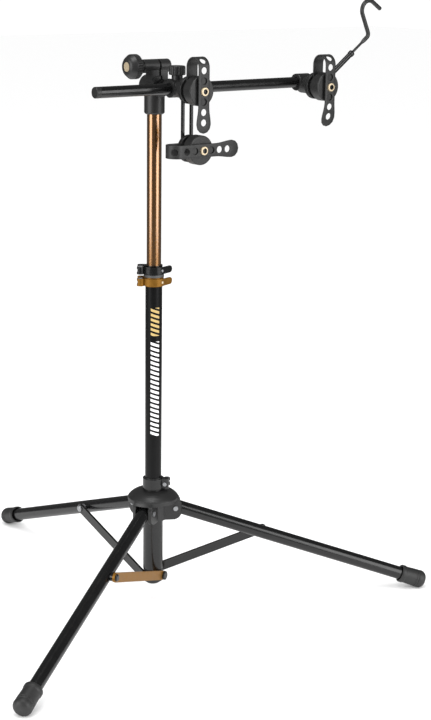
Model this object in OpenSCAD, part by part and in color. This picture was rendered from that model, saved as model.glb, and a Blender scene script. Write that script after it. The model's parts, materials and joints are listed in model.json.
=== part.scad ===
// Folding bike repair stand: tripod base, telescopic mast and a bar with three strap cradles.
// Millimetres. The origin is on the floor under the mast axis, +Z is up, +X runs along the
// bar towards the hook, and the cradles face -Y.

/* [Stance] */
// Distance from the mast axis to the tip of a leg
foot_r = 605; // [580:1:620]
// Height of a leg's axis where it ends on the floor
foot_tip_z = 15.5; // [15.3:0.1:15.9]
// Outer diameter of a leg tube
leg_d = 28.5; // [28:0.5:30]
// Diameter of a rubber foot
foot_d = 39; // [38.5:0.5:40]
// Length of a rubber foot
foot_len = 60; // [56:1:70]

/* [Mast] */
// Outer diameter of the lower mast tube
mast_d = 35; // [34.5:0.1:35]
// Outer diameter of the telescoping upper tube
upper_d = 30; // [29.5:0.1:30]
// Height of the top edge of the mast tube
mast_top = 714; // [700:1:714]
// Height of the underside of the head socket
socket_z = 1050; // [1020:1:1060]
// Outer diameter of the sleeve that slides on the mast
sleeve_d = 42.5; // [42:0.1:42.5]

/* [Hub and braces] */
// Distance from the mast axis to a leg's pivot
hub_pivot_r = 46; // [45:0.5:48]
// Height of the leg pivots
hub_pivot_z = 214; // [212:1:216]
// Height of the lower pivots of the braces
foot_pivot_z = 59; // [58:0.5:60]
// Distance along a leg from its pivot to the brace bolt
brace_at = 209; // [195:1:215]
// Width of a brace bar
brace_w = 20; // [18:0.5:20]
// Thickness of a brace bar
brace_t = 5; // [4:0.5:5]

/* [Head] */
// Height of the axes of the arm, the bar and the upper cradles
bar_z = 1106; // [1106:1:1110]
// Distance from the mast axis forward to the bar's axis
bar_y = 75; // [72:1:76]
// Outer diameter of the bar
bar_d = 22; // [21:0.2:22]
// Reach of the bar's plain end, to the left of the mast
bar_left = 197; // [180:1:220]
// Distance from the mast axis to the cradle at the bar's end
end_x = 330; // [300:1:340]
// Diameter of the arm that carries the bar block
arm_d = 30; // [29:0.2:30]
// Diameter of the knob that locks the tilt
tilt_knob_d = 49; // [47:1:52]

/* [Cradles] */
// Diameter of a cradle drum
drum_d = 58; // [56:1:60]
// Depth of a cradle from its mounting face to the front of the drum
drum_depth = 44; // [43:1:45]
// Width of a ladder strap
strap_w = 26; // [22:1:26]
// Thickness of a ladder strap
strap_t = 3; // [2.6:0.2:3.4]
// Distance between strap holes
strap_pitch = 20; // [18:0.5:20]
// Height of the straight sides of a strap loop
loop_rise = 45; // [42:1:50]
// The same for the lower cradle, whose strap is let out further
low_loop_rise = 52; // [46:1:54]
// Height of the lower cradle's axis
low_cradle_z = 992; // [991:1:993]

/* [Hook] */
// Angle of the hook tube above the horizontal
hook_rise = 36.4; // [30:0.1:45]
// Length of the hook tube, from its pivot
hook_tube_len = 99; // [90:1:110]

/* [Hidden] */
$fn = 64;

// Legs: rear, left and right, as turns about the mast
REAR = 90;
LEFT = 210;
RIGHT = 330;
LEGS = [REAR, LEFT, RIGHT];

// Clearances
run = 0.05;             // radial gap of a running fit
eps = 0.01;             // overlap used when one tool cuts past a face
past = 1;               // how far a cutter runs past the solid it cuts

// Radii worked out from the driving diameters
mast_r = mast_d / 2;
mast_bore = mast_r - 1.8;
upper_r = upper_d / 2;
sleeve_r = sleeve_d / 2;
leg_r = leg_d / 2;
foot_cap_r = foot_d / 2;
bar_r = bar_d / 2;
arm_r = arm_d / 2 - run;
drum_r = drum_d / 2;

// Leg and brace triangle
leg_span = foot_r - hub_pivot_r;
leg_drop = hub_pivot_z - foot_tip_z;
leg_len = sqrt(leg_span * leg_span + leg_drop * leg_drop);
leg_droop = atan2(leg_drop, leg_span);
brace_end_r = hub_pivot_r + brace_at * cos(leg_droop);
brace_end_z = hub_pivot_z - brace_at * sin(leg_droop);
brace_len = sqrt(pow(brace_end_r, 2) + pow(brace_end_z - foot_pivot_z, 2));
brace_rise = atan2(brace_end_z - foot_pivot_z, brace_end_r);

// Foot casting and the braces beside it
foot_base_z = 46;
foot_top_z = 72;
spigot_top = 112;
brace_y = 21;           // inner face of a brace, measured sideways from the mast axis
bolt_r = 4;
pivot_head_r = 9.5;
cap_z = 40;

// Hub
cheek_gap = leg_r + 0.3;
cheek_t = 6.7;
cheek_from = 21.6;      // the cheeks start outside the sleeve's bore, inside the core
hub_core_r = 31.5;
hub_roof_r = 54;
hub_rim_r = 62;         // reach of the cheeks
hub_base_z = 189;
hub_roof_z = 229.6;
hub_top_z = 252;
hub_neck_top = 281;
hub_neck_r = 19.3;
slide_bore = mast_r + 0.06;
sleeve_base_z = 74;
sleeve_top_z = 216;
leg_bolt_head_r = 5.2;
leg_bolt_head_t = 2.6;

// Quick-release clamps, in their own frame: the slit points along +X
clamp_h = 19;
clamp_wall = 3;
ear_x = 27;             // distance of the clamp bolt from the ring's axis
ear_back = 8;
ear_front = 6.2;
ear_round = 7.1;
slit = 3;
clamp_bolt_r = 2.5;
pin_y = 14;             // the lever's pin stands this far in front of the slit
pin_r = 2;
eye_r = 4.6;
eye_h = 5;
cam_r = 7.4;
cam_lip = 0.3;          // how far the cam stands proud of the lever's edges
lever_gap = 1.1;        // between the ring and the lever around it
lever_t = 3.4;
lever_h = 15;
lever_from = 20;
mast_clamp_z = mast_top - 17;
washer_z = mast_clamp_z + clamp_h;
collar_z = washer_z + 5.6;
hub_clamp_z = 256;
hub_clamp_h = 23;
clamp_turn = 141;       // direction of the slits of the two upper clamps
hub_clamp_turn = 312;   // direction of the hub clamp's slit

// Upper tube and head
upper_base_z = 440;
upper_top_z = bar_z - 20;
ring_r = 21.5;
ring_half = 24;
ear_axis_y = -8;
ear_axis_z = bar_z + 40;
barrel_r = 13.5;
barrel_left = -38;
barrel_right = 28;
stud_r = 5;
tilt_knob_r = tilt_knob_d / 2;
knob_near = -46;
knob_rim = -66;
knob_face = -74;
badge_r = 9.5;
badge_t = 1.5;

// Bar block, bar and end block
block_r = 17.5;
block_half = 19;
block_face_y = -105;
arm_seat_y = -62;
arm_back_y = 30;
bracket_t = 6;
mount_y = block_face_y - bracket_t;
axle_r = 5;
bar_bore = bar_r + run;
bar_wall = 1.5;
bar_cap_len = 10;
bar_seat_x = end_x + 8;
stud_tip_z = bar_z + bar_r + 0.5;
bar_knob_z = bar_z + 26.5;
bar_knob_r = 16.5;
bar_knob_h = 18;
bar_stud_r = 3;
bracket_r = 13;
slot_r = 8;
slot_low = 986;
slot_high = 1078;
bracket_low = 978;
end_cradle_z = bar_z - 5;

// Cradle, in its own frame: +Z points out of the drum, +Y is the way the loop stands
base_r = 27;
base_h = 10;
strap_gap = 0.1;        // gap on each side of the strap's base end, and behind the base
rear_run = base_h + strap_gap;
drum_from = rear_run + strap_t + strap_gap;
ridge_h = 4;
ridge_w = 18;
front_run = drum_depth + ridge_h + 0.2;
loop_mid = (rear_run + front_run + strap_t) / 2;
loop_r_out = (front_run + strap_t - rear_run) / 2;
loop_r_in = loop_r_out - strap_t;
strap_hole_r = 6.8;
loop_hole_at = 135;     // angle of the loop's only hole, from the loop's back
paddle_r = 17;
paddle_y = -64;
low_paddle_y = -72;
bolt_head_r = 8.25;
bolt_head_t = 4;

// Hook, in the plane y = hook_y
hook_y = -100;
hook_x = end_x + 37;
hook_tube_r = 5.65;
hook_rod_r = 2.75;
hook_wire_r = 4.4;
hook_step = 0.02;       // how much thinner the bends are than the straight stretches
tongue_half = 2.95;
tongue_r = 6;
hook_pin_r = 2.5;
lug_r = 8;
rod_from = 58;
sleeve_from = 131;
bend_at = 150;
bend_r = 9;
bend_to = 115;          // heading after the first bend
neck_len = 41;
crook_r = 20;
crook_to = -33;         // heading after the crook
crook_tail = 28;

// ---------- shared shapes ----------

// A cylinder along X from x0 to x1
module rod_x(r, x0, x1) {
    translate([x0, 0, 0]) rotate([0, 90, 0]) cylinder(r = r, h = x1 - x0);
}

// A cylinder along Y from y0 to y1
module rod_y(r, y0, y1) {
    translate([0, y0, 0]) rotate([-90, 0, 0]) cylinder(r = r, h = y1 - y0);
}

// A cylinder along Z from z0 to z1
module rod_z(r, z0, z1) {
    translate([0, 0, z0]) cylinder(r = r, h = z1 - z0);
}

// A tube along Z
module tube_z(r_out, r_in, z0, z1) {
    difference() {
        rod_z(r_out, z0, z1);
        rod_z(r_in, z0 - past, z1 + past);
    }
}

// Points of an arc about (cx, cy) from angle a to angle b
function arc(cx, cy, r, a, b, n = 8) =
    [for (i = [0:n]) let (t = a + (b - a) * i / n) [cx + r * cos(t), cy + r * sin(t)]];

// Turns a solid of revolution about Z so that its axis is X
module revolve_x() {
    rotate([0, 90, 0]) rotate_extrude() children();
}

// A flat bar with round ends: length l between centres, width w
module flat_bar(l, w) {
    circle(d = w);
    translate([l, 0]) circle(d = w);
    translate([0, -w / 2]) square([l, w]);
}

module at_leg(turn) {
    rotate([0, 0, turn]) children();
}

// +X runs along the leg from its pivot
module in_leg(turn) {
    at_leg(turn) translate([hub_pivot_r, 0, hub_pivot_z]) rotate([0, leg_droop, 0]) children();
}

// +X runs along the brace from its lower pivot, and y = 0 is the brace's inner face
module in_brace(turn) {
    at_leg(turn) translate([0, brace_y, foot_pivot_z]) rotate([0, -brace_rise, 0]) children();
}

// ---------- mast ----------

module mast_tube() {
    color("#161616") difference() {
        tube_z(mast_r, mast_bore, foot_top_z, mast_top);
        // Slit that lets the clamp close
        rotate([0, 0, clamp_turn])
            translate([0, -slit / 2, mast_top - 40]) cube([mast_r + past, slit, 40 + past]);
    }
}

// Casting that closes the mast and carries the three lower brace pivots
module mast_foot() {
    color("#232323") difference() {
        union() {
            rod_z(20.5, foot_base_z, foot_top_z);
            rod_z(mast_bore, foot_top_z - eps, spigot_top);
            for (turn = LEGS) at_leg(turn)
                translate([0, 0, foot_pivot_z]) rod_y(pivot_head_r, 0, brace_y - run);
        }
        for (turn = LEGS) at_leg(turn)
            translate([0, 0, foot_pivot_z]) rod_y(bolt_r, pivot_head_r, brace_y + past);
        rod_z(axle_r, foot_base_z - past, foot_base_z + 8);
        rod_z(10, foot_top_z + 8, spigot_top + past);
    }
}

module mast_end_cap() {
    color("#101010") {
        rotate_extrude() polygon(concat([[0, cap_z]], arc(10.5, foot_base_z, 6, -90, 0),
            [[axle_r, foot_base_z], [axle_r, foot_base_z + 7], [0, foot_base_z + 7]]));
    }
}

module brace_pivot_bolts() {
    outer = brace_y + brace_t + run;
    color("#1c1c1c") for (turn = LEGS) at_leg(turn) translate([0, 0, foot_pivot_z]) {
        rod_y(bolt_r, pivot_head_r, outer + eps);
        translate([0, outer, 0]) rotate([-90, 0, 0]) rotate_extrude()
            polygon(concat([[0, 0]], [[pivot_head_r, 0]],
                arc(pivot_head_r - 2, 3, 2, 0, 90), [[0, 5]]));
    }
}

// Plastic liner between the mast and the upper tube
module mast_bush() {
    color("#3a3a3a") tube_z(mast_bore, upper_r + run, mast_top - 74, mast_top);
}

// ---------- quick-release clamps ----------

// Split ring with two ears. The slit points along +X.
module clamp_ring(r_in, h) {
    r_out = r_in + clamp_wall;
    ear_mid = (ear_front - ear_back) / 2;
    difference() {
        union() {
            cylinder(r = r_out, h = h);
            translate([r_in + past, -ear_back, 0])
                cube([ear_x - r_in - past, ear_back + ear_front, h]);
            translate([ear_x, ear_mid, 0]) cylinder(r = ear_round, h = h);
        }
        rod_z(r_in, -past, h + past);
        translate([r_in / 2, -slit / 2, -past]) cube([ear_x + ear_round, slit, h + 2 * past]);
        translate([ear_x, 0, h / 2]) rod_y(clamp_bolt_r, -ear_back - past, ear_front + past);
    }
}

// Bolt with an eye, and the pin that the lever turns on
module clamp_bolt(h) {
    translate([ear_x, 0, h / 2]) {
        difference() {
            union() {
                rod_y(clamp_bolt_r, -ear_back - eps, pin_y);
                rod_y(4.2, -ear_back - 3, -ear_back);
                translate([0, pin_y, 0]) rod_z(eye_r, -eye_h / 2, eye_h / 2);
            }
            translate([0, pin_y, 0]) rod_z(pin_r + run, -eye_h, eye_h);
        }
        translate([0, pin_y, 0]) rod_z(pin_r, -lever_h / 2 + 0.2, lever_h / 2 - 0.2);
    }
}

// Curved lever: cam at the pin, arm around a ring of bore r_in to lever_to, then a straight tab
module clamp_lever(r_in, h, lever_to, tab) {
    lever_in = r_in + clamp_wall + lever_gap;
    lever_out = lever_in + lever_t;
    tab_r = lever_h / 2 - cam_lip;
    translate([0, 0, (h - lever_h) / 2]) difference() {
        union() {
            translate([ear_x, pin_y, 0]) rod_z(cam_r, -cam_lip, lever_h + cam_lip);
            rotate([0, 0, lever_from]) rotate_extrude(angle = lever_to - lever_from)
                translate([lever_in, 0]) square([lever_t, lever_h]);
            if (tab > 0) rotate([0, 0, lever_to])
                translate([lever_out - cam_lip / 2, 0, lever_h / 2]) rotate([90, 0, -90])
                    linear_extrude(lever_t - cam_lip) {
                        translate([tab_r - tab, 0]) circle(r = tab_r);
                        translate([tab_r - tab, -tab_r]) square([tab - tab_r + 0.5, 2 * tab_r]);
                    }
        }
        // Room for the bolt's eye and for its shank as the lever opens
        translate([ear_x, pin_y, lever_h / 2]) {
            rod_z(eye_r + 0.5, -eye_h / 2 - 0.5, eye_h / 2 + 0.5);
            translate([-eye_r, -20, -eye_h / 2 - 0.5]) cube([20, 25.5, eye_h + 1]);
        }
        translate([ear_x, pin_y, 0]) rod_z(pin_r + run, -past, lever_h + past);
    }
}

module on_mast_clamp() {
    translate([0, 0, mast_clamp_z]) rotate([0, 0, clamp_turn]) children();
}

module on_stop_collar() {
    translate([0, 0, collar_z]) rotate([0, 0, clamp_turn]) children();
}

module on_hub_clamp() {
    translate([0, 0, hub_clamp_z]) rotate([0, 0, hub_clamp_turn]) children();
}

module mast_clamp() {
    color("#8a5a34") on_mast_clamp() clamp_ring(mast_r, clamp_h);
}

module mast_clamp_bolt() {
    color("silver") on_mast_clamp() clamp_bolt(clamp_h);
}

module mast_clamp_lever() {
    color("#8a5a34") on_mast_clamp() clamp_lever(mast_r, clamp_h, 146, 30);
}

// Plastic washer that the stop collar turns on
module collar_washer() {
    color("#3c3c3c") tube_z(mast_r + 3.6, upper_r + run, washer_z, collar_z - run);
}

module stop_collar() {
    color("#1a1a1a") on_stop_collar() clamp_ring(upper_r + run, clamp_h);
}

module stop_collar_bolt() {
    color("silver") on_stop_collar() clamp_bolt(clamp_h);
}

module stop_collar_lever() {
    color("#1a1a1a") on_stop_collar() clamp_lever(mast_r, clamp_h, 146, 30);
}

module hub_clamp() {
    color("#1a1a1a") on_hub_clamp() clamp_ring(hub_neck_r, hub_clamp_h);
}

module hub_clamp_bolt() {
    color("silver") on_hub_clamp() clamp_bolt(hub_clamp_h);
}

module hub_clamp_lever() {
    color("#1a1a1a") on_hub_clamp() clamp_lever(hub_neck_r, hub_clamp_h, 118, 0);
}

// ---------- hub ----------

// Domed spider with a pair of cheeks for each leg
module hub() {
    cheek = cheek_gap + cheek_t;
    color("#242424") difference() {
        union() {
            intersection() {
                union() {
                    rod_z(hub_core_r, hub_base_z, hub_top_z + 2);
                    rod_z(hub_roof_r, hub_roof_z, hub_top_z + 2);
                    for (turn = LEGS) at_leg(turn)
                        translate([cheek_from, -cheek, hub_base_z])
                            cube([50, 2 * cheek, hub_top_z - hub_base_z]);
                }
                rotate_extrude() polygon(concat([[0, hub_base_z - past]],
                    [[hub_rim_r - 12.4, hub_base_z - past]],
                    arc(hub_rim_r - 15, hub_base_z + 15.3, 15, -80, 0),
                    arc(hub_rim_r - 12, 221, 12, 0, 48),
                    arc(24.6, 217.1, 36.0, 23, 90), [[0, hub_top_z + 1]]));
            }
            rod_z(hub_neck_r, hub_top_z - 2, hub_neck_top);
        }
        rod_z(slide_bore, hub_base_z - past, hub_neck_top + past);
        rod_z(sleeve_r, hub_base_z - past, sleeve_top_z);
        for (turn = LEGS) at_leg(turn) {
            slot_x = hub_pivot_r - leg_r - 0.6;
            translate([slot_x, -cheek_gap, hub_base_z - 10])
                cube([80, 2 * cheek_gap, hub_roof_z - hub_base_z + 10]);
            translate([hub_pivot_r, 0, hub_pivot_z]) rod_y(bolt_r, -cheek - past, cheek + past);
        }
        // Slit that lets the neck close on the mast
        rotate([0, 0, hub_clamp_turn]) translate([0, -slit / 2, hub_top_z + 4])
            cube([hub_neck_r + past, slit, hub_neck_top]);
    }
}

module sleeve() {
    color("#1b1b1b") tube_z(sleeve_r, sleeve_r - 2, sleeve_base_z, sleeve_top_z);
}

// Two plastic rings that guide the sleeve on the mast
module sleeve_bushes() {
    color("#3a3a3a") {
        tube_z(sleeve_r - 2, slide_bore, sleeve_base_z + 0.5, sleeve_base_z + 24);
        tube_z(sleeve_r - 2, slide_bore, sleeve_top_z - 22, sleeve_top_z);
    }
}

module leg_pivot_bolts() {
    face = cheek_gap + cheek_t;
    color("silver") for (turn = LEGS) at_leg(turn) translate([hub_pivot_r, 0, hub_pivot_z]) {
        difference() {
            union() {
                rod_y(bolt_r, -face - leg_bolt_head_t, face + eps);
                rod_y(leg_bolt_head_r, face, face + leg_bolt_head_t);
            }
            translate([0, face + 1.2, 0]) rotate([-90, 0, 0]) cylinder(r = 2.6, h = 3, $fn = 6);
        }
        difference() {
            rod_y(leg_bolt_head_r, -face - leg_bolt_head_t, -face);
            rod_y(bolt_r + run, -face - leg_bolt_head_t - past, -face + past);
        }
    }
}

// ---------- legs and braces ----------

module leg(turn) {
    open_end = leg_len - 12;
    color("#171717") in_leg(turn) difference() {
        union() {
            rod_x(leg_r, 0, open_end);
            intersection() {
                rod_y(leg_r, -leg_r, leg_r);
                rod_x(leg_r, -leg_r, eps);
            }
        }
        rod_x(leg_r - 1.6, leg_r + 8, open_end + past);
        rod_y(bolt_r + run, -leg_d, leg_d);
    }
}

// Rubber foot with a mouth ring and a round nose, cut flat where it stands on the floor
module foot_cap(turn) {
    nose = 13;
    end = leg_len + 4;
    start = end - foot_len;
    seat = leg_len - 12;
    color("#2c2c2c") difference() {
        in_leg(turn) revolve_x() polygon(concat(
            [[0, seat], [leg_r, seat], [leg_r, start], [foot_cap_r - 1.5, start]],
            arc(foot_cap_r - 1.5, start + 1.5, 1.5, -90, 0, 4),
            [[foot_cap_r, start + 9], [foot_cap_r - 1, start + 11]],
            [[foot_cap_r - 0.4, end - nose - 12]],
            arc(foot_cap_r - nose, end - nose, nose, 0, 90),
            [[0, end]]));
        translate([-foot_r * 2, -foot_r * 2, -foot_r]) cube([foot_r * 4, foot_r * 4, foot_r]);
    }
}

module brace(turn) {
    in_brace(turn) translate([0, brace_t, 0]) rotate([90, 0, 0]) linear_extrude(brace_t)
        difference() {
            flat_bar(brace_len, brace_w);
            circle(r = bolt_r + run);
            translate([brace_len, 0]) circle(r = bolt_r);
        }
}

// Spacer between leg and brace, and the bolt through both
module brace_bolt(turn) {
    inner = cheek_gap - brace_y;
    color("silver") in_brace(turn) translate([brace_len, 0, 0]) {
        rod_y(bolt_r, inner, brace_t + eps);
        translate([0, brace_t, 0]) rotate([-90, 0, 0]) rotate_extrude()
            polygon(concat([[0, 0], [7.5, 0]], arc(4.5, 1, 3, 0, 90), [[0, 4]]));
        difference() {
            rod_y(8.5, inner, -run);
            rod_y(bolt_r + run, inner - past, past);
        }
    }
}

// ---------- upper tube and head ----------

module upper_tube() {
    color("#8a5a34") tube_z(upper_r, upper_r - 1.8, upper_base_z, upper_top_z);
}

module on_arm_axis() {
    translate([0, 0, bar_z]) children();
}

module on_tilt_axis() {
    translate([0, ear_axis_y, ear_axis_z]) children();
}

// Socket on the upper tube, pinch ring around the arm and the two ears above it
module head_clamp() {
    socket_r = 20.75;
    color("#2a2a2a") difference() {
        union() {
            rotate_extrude() polygon([[0, socket_z], [socket_r - 2.5, socket_z],
                [socket_r, socket_z + 3], [socket_r, bar_z], [0, bar_z]]);
            on_arm_axis() rod_y(ring_r, -ring_half, ring_half);
            translate([-ring_r + 2, ear_axis_y - 11, bar_z])
                cube([2 * ring_r - 4, 22, ear_axis_z - bar_z]);
            on_tilt_axis() rod_x(barrel_r, barrel_left, barrel_right - 3);
            on_tilt_axis() translate([barrel_right - 3 - eps, 0, 0]) rotate([0, 90, 0])
                rotate_extrude() polygon(concat([[0, 0], [barrel_r, 0]],
                    arc(barrel_r - 3, 0, 3, 0, 90), [[0, 3]]));
        }
        rod_z(upper_r, socket_z - past, upper_top_z);
        on_arm_axis() rod_y(arm_r + run, -ring_half - past, ring_half + past);
        translate([-2, -ring_half - past, bar_z]) cube([4, 2 * ring_half + 2, 80]);
        on_tilt_axis() rod_x(stud_r + run, barrel_left - past, barrel_right - 8);
        on_tilt_axis() translate([barrel_right - 9, 0, 0]) rotate([0, 90, 0])
            cylinder(r = 9, h = 20, $fn = 6);
    }
}

module tilt_nut() {
    color("silver") on_tilt_axis() difference() {
        translate([barrel_right - 9, 0, 0]) rotate([0, 90, 0]) cylinder(r = 8.95, h = 7, $fn = 6);
        rod_x(stud_r + run, 0, barrel_right + past);
    }
}

module tilt_stud() {
    color("silver") on_tilt_axis() rod_x(stud_r, knob_rim + 4, barrel_right - 3);
}

// Ribbed knob with a domed face
module tilt_knob() {
    ribs = 30;
    color("#1e1e1e") on_tilt_axis() difference() {
        revolve_x() polygon(concat(
            [[0, knob_face], [badge_r + 1, knob_face]],
            arc(badge_r + 1, knob_rim + 2, tilt_knob_r - badge_r - 3.5, -90, -32),
            [[tilt_knob_r, knob_rim + 2], [tilt_knob_r, knob_near - 5],
             [tilt_knob_r - 5, knob_near], [12, knob_near], [12, barrel_left - 0.2],
             [0, barrel_left - 0.2]]));
        for (i = [0:ribs - 1]) rotate([i * 360 / ribs, 0, 0])
            translate([0, 0, tilt_knob_r + 0.2]) rod_x(1.6, knob_rim + 4, knob_near + past);
        rod_x(stud_r, knob_rim + 4, 0);
        rod_x(badge_r, knob_face - past, knob_face + badge_t);
    }
}

// Plain disc let into the knob's face
module knob_badge() {
    color("#c9a45c") on_tilt_axis() rod_x(badge_r, knob_face - 0.4, knob_face + badge_t);
}

// ---------- arm, bar block and bar ----------

module arm_tube() {
    color("#202020") on_arm_axis() rod_y(arm_r, arm_seat_y, arm_back_y);
}

module on_bar_axis() {
    translate([0, -bar_y, bar_z]) children();
}

module bar_block() {
    color("#282828") difference() {
        union() {
            on_bar_axis() rod_x(block_r, -block_half, block_half);
            on_arm_axis() rod_y(block_r, block_face_y, -48);
            on_bar_axis() rod_z(11, 0, bar_knob_z - bar_z - 0.5);
        }
        on_bar_axis() rod_x(bar_bore, -block_half - past, block_half + past);
        on_arm_axis() rod_y(arm_r, arm_seat_y, -48 + past);
        on_arm_axis() rod_y(axle_r, block_face_y - past, -90);
        on_bar_axis() rod_z(bar_stud_r + run, 0, 40);
    }
}

// Fluted knob on top of the block, with the stud that locks the bar
module bar_knob() {
    flutes = 12;
    color("#1e1e1e") translate([0, -bar_y, 0]) {
        difference() {
            translate([0, 0, bar_knob_z]) rotate_extrude() polygon(concat([[0, 0],
                [bar_knob_r - 1, 0], [bar_knob_r, 1]],
                arc(bar_knob_r - 3, bar_knob_h - 3, 3, 0, 90), [[0, bar_knob_h]]));
            for (i = [0:flutes - 1]) rotate([0, 0, i * 360 / flutes])
                translate([bar_knob_r + 1.2, 0, 0])
                    rod_z(2.6, bar_knob_z - past, bar_knob_z + bar_knob_h + past);
        }
        rod_z(bar_stud_r, stud_tip_z, bar_knob_z + eps);
    }
}

// Flat plate that hangs from the block and carries the lower cradle in its slot
module slotted_bracket() {
    color("#262626") translate([0, block_face_y, 0]) rotate([90, 0, 0]) linear_extrude(bracket_t)
        difference() {
            translate([0, bracket_low]) rotate(90) flat_bar(bar_z - bracket_low, 2 * bracket_r);
            translate([0, bar_z]) circle(r = axle_r);
            translate([0, slot_low]) rotate(90) flat_bar(slot_high - slot_low, 2 * slot_r);
        }
}

module bar_tube() {
    color("#171717") on_bar_axis() difference() {
        rod_x(bar_r, -bar_left + bar_cap_len, bar_seat_x);
        rod_x(bar_r - bar_wall, -bar_left, bar_seat_x + past);
    }
}

module bar_end_cap() {
    color("#111111") on_bar_axis() {
        translate([-bar_left, 0, 0]) revolve_x() polygon(concat([[0, 0]],
            arc(bar_r - 1.5, 1.5, 1.5, -90, 0, 4), [[bar_r, bar_cap_len],
            [bar_r - bar_wall, bar_cap_len], [bar_r - bar_wall, bar_cap_len + 14],
            [0, bar_cap_len + 14]]));
    }
}

// Blind block on the bar's end, with the neck for its cradle and the lug for the hook
module end_block() {
    left = end_x - block_half;
    right = end_x + block_half;
    lug_out = tongue_half + 3;
    color("#282828") difference() {
        union() {
            on_bar_axis() translate([left, 0, 0]) revolve_x() polygon(concat([[0, 0],
                [block_r - 1, 0], [block_r, 1]],
                arc(block_r - 6, right - left - 6, 6, 0, 90), [[0, right - left]]));
            translate([end_x, 0, end_cradle_z]) rod_y(block_r, mount_y, -bar_y);
            translate([end_x, hook_y - lug_out, bar_z - lug_r])
                cube([hook_x - end_x, 2 * lug_out, 2 * lug_r]);
            translate([hook_x, hook_y, bar_z]) rod_y(lug_r, -lug_out, lug_out);
        }
        on_bar_axis() rod_x(bar_r, left - past, bar_seat_x);
        translate([end_x, 0, end_cradle_z]) rod_y(axle_r, mount_y - past, -bar_y - bar_r - 4);
        // Fork for the hook tube's tongue
        translate([hook_x - 9.5, hook_y - tongue_half - run, bar_z - 20])
            cube([40, 2 * (tongue_half + run), 40]);
        translate([hook_x, hook_y, bar_z]) rod_y(hook_pin_r, -lug_out - past, lug_out + past);
    }
}

// Square nut behind the bracket's slot
module bracket_nut() {
    color("silver") difference() {
        translate([-11, block_face_y + strap_gap, low_cradle_z - 11]) cube([22, 7, 22]);
        translate([0, 0, low_cradle_z]) rod_y(axle_r, block_face_y - past, block_face_y + 8);
    }
}

// ---------- cradles ----------

// Puts a cradle at (x, z) on the mounting plane, turned about its own axis
module at_cradle(x, z, turn) {
    translate([x, mount_y, z]) rotate([0, -turn, 0]) rotate([90, 0, 0]) children();
}

module in_mid() {
    at_cradle(0, bar_z, 0) children();
}

module in_end() {
    at_cradle(end_x, end_cradle_z, 0) children();
}

module in_low() {
    at_cradle(0, low_cradle_z, 90) children();
}

// Back half of the bobbin, with three ring grooves
module cradle_base() {
    groove = [[0, 0], [-1.2, 0.5], [-1.2, 1.3], [0, 1.8]];
    color("#2b2b2b") rotate_extrude() polygon(concat(
        [[axle_r + run, strap_gap], [base_r - 1, strap_gap], [base_r, 1]],
        [for (k = [0:2], p = groove) [base_r + p[0], 1.4 + 2.5 * k + p[1]]],
        arc(base_r - 1.5, base_h - 1.5, 1.5, 0, 90, 4),
        [[axle_r + run, base_h]]));
}

// Front half: waist, flare, rim, and the ridge that holds the strap clear of the disc
module cradle_drum() {
    waist = drum_r - 6;
    color("#2b2b2b") difference() {
        union() {
            rotate_extrude() polygon(concat(
                [[0, drum_from], [waist, drum_from], [waist, drum_from + 4]],
                arc(waist + 6, drum_from + 4, 6, 180, 90),
                [[drum_r, drum_from + 10]],
                arc(drum_r - 2, drum_depth - 2, 2, 0, 90, 4),
                [[0, drum_depth]]));
            intersection() {
                rod_z(drum_r - 0.5, drum_depth - eps, drum_depth + ridge_h);
                translate([-ridge_w / 2, -drum_r, drum_depth - 1])
                    cube([ridge_w, drum_d, ridge_h + 2]);
            }
        }
        rod_z(axle_r + run, 0, drum_depth + ridge_h + past);
    }
}

// Ladder strap: base end on the bolt, back run, loop, front run and paddle
module strap(rise, paddle_at) {
    half = strap_w / 2;
    color("#303030") difference() {
        union() {
            translate([0, 0, rear_run]) linear_extrude(strap_t) {
                circle(r = half);
                translate([-half, 0]) square([strap_w, rise]);
            }
            translate([0, 0, front_run]) linear_extrude(strap_t) {
                translate([0, paddle_at]) circle(r = paddle_r);
                polygon([[-half, rise], [-half, -30], [-paddle_r, paddle_at],
                         [paddle_r, paddle_at], [half, -30], [half, rise]]);
            }
            translate([-half, rise, loop_mid]) rotate([0, 90, 0]) loop_top();
        }
        for (y = [-60:strap_pitch:40]) translate([0, y, 0])
            rod_z(strap_hole_r, front_run - past, front_run + strap_t + past);
        rod_z(strap_hole_r, rear_run - past, rear_run + strap_t + past);
        translate([0, rise, loop_mid]) rotate([90 - loop_hole_at, 0, 0])
            rod_y(strap_hole_r, loop_r_in - 4, loop_r_out + 4);
    }
}

// Half ring that joins the strap's two runs, as wide as the strap
module loop_top() {
    rotate_extrude(angle = 180) translate([loop_r_in, 0]) square([strap_t, strap_w]);
}

// Bolt with a round head and a hexagonal socket; its shank runs back by reach
module cradle_bolt(reach) {
    head_z = front_run + strap_t + 0.1;
    color("#c9a45c") difference() {
        union() {
            rod_z(axle_r, -reach, head_z + eps);
            translate([0, 0, head_z]) rotate_extrude() polygon(concat(
                [[0, 0], [bolt_head_r, 0]],
                arc(bolt_head_r - 1, bolt_head_t - 1, 1, 0, 90, 4), [[0, bolt_head_t]]));
        }
        translate([0, 0, head_z + 1]) cylinder(r = 4.6, h = bolt_head_t, $fn = 6);
    }
}

module cradle_base_mid() {
    in_mid() cradle_base();
}

module cradle_base_end() {
    in_end() cradle_base();
}

module cradle_base_low() {
    in_low() cradle_base();
}

module cradle_drum_mid() {
    in_mid() cradle_drum();
}

module cradle_drum_end() {
    in_end() cradle_drum();
}

module cradle_drum_low() {
    in_low() cradle_drum();
}

module strap_mid() {
    in_mid() strap(loop_rise, paddle_y);
}

module strap_end() {
    in_end() strap(loop_rise, paddle_y);
}

module strap_low() {
    in_low() strap(low_loop_rise, low_paddle_y);
}

module cradle_bolt_mid() {
    in_mid() cradle_bolt(20);
}

module cradle_bolt_end() {
    in_end() cradle_bolt(18);
}

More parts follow.
